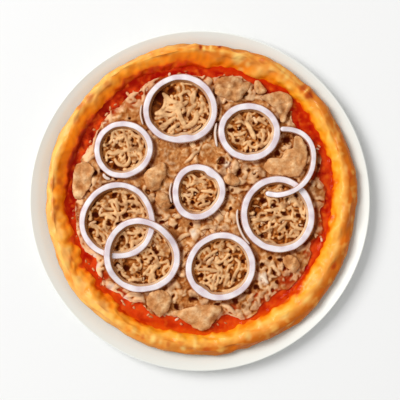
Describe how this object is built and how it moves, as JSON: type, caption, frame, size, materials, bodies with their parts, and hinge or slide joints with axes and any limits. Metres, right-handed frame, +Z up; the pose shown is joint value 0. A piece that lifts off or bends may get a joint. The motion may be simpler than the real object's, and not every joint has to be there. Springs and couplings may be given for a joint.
{
  "type": "pizza on plate",
  "caption": "Round baked pizza with tomato sauce, flaked tuna and raw onion rings, on a round white coupe plate.",
  "frame": {"origin": "centre of the plate's foot, on the surface that the plate stands on", "axes": "+Z up, +X to the right and +Y to the back of the pizza as the picture shows it from above"},
  "size_m": [0.32, 0.32, 0.0287],
  "materials": {
    "plate_glaze": "glossy off-white glaze",
    "baked_crust": "golden baked bread with browned spots, slightly oily",
    "tomato_sauce": "wet red tomato sauce",
    "tuna": "fibrous cooked fish, moist",
    "onion": "moist white onion flesh with a thin darker skin line"
  },
  "bodies": {
    "root": {"plate": "plate_glaze", "crust": "baked_crust", "sauce": "tomato_sauce", "tuna_flakes": "tuna", "tuna_chunk_1": "tuna", "tuna_chunk_2": "tuna", "tuna_chunk_3": "tuna", "tuna_chunk_4": "tuna", "tuna_chunk_5": "tuna", "tuna_chunk_6": "tuna", "tuna_chunk_7": "tuna", "tuna_chunk_8": "tuna", "tuna_chunk_9": "tuna", "tuna_chunk_10": "tuna", "tuna_chunk_11": "tuna", "onion_ring_1": "onion", "onion_ring_2": "onion", "onion_ring_3": "onion", "onion_ring_4": "onion", "onion_ring_5": "onion", "onion_ring_6": "onion", "onion_ring_7": "onion", "onion_ring_8": "onion", "onion_ring_open": "onion", "onion_strand_1": "onion", "onion_strand_2": "onion", "onion_strand_3": "onion", "onion_strand_4": "onion", "onion_strand_5": "onion"}
  },
  "joints": []
}
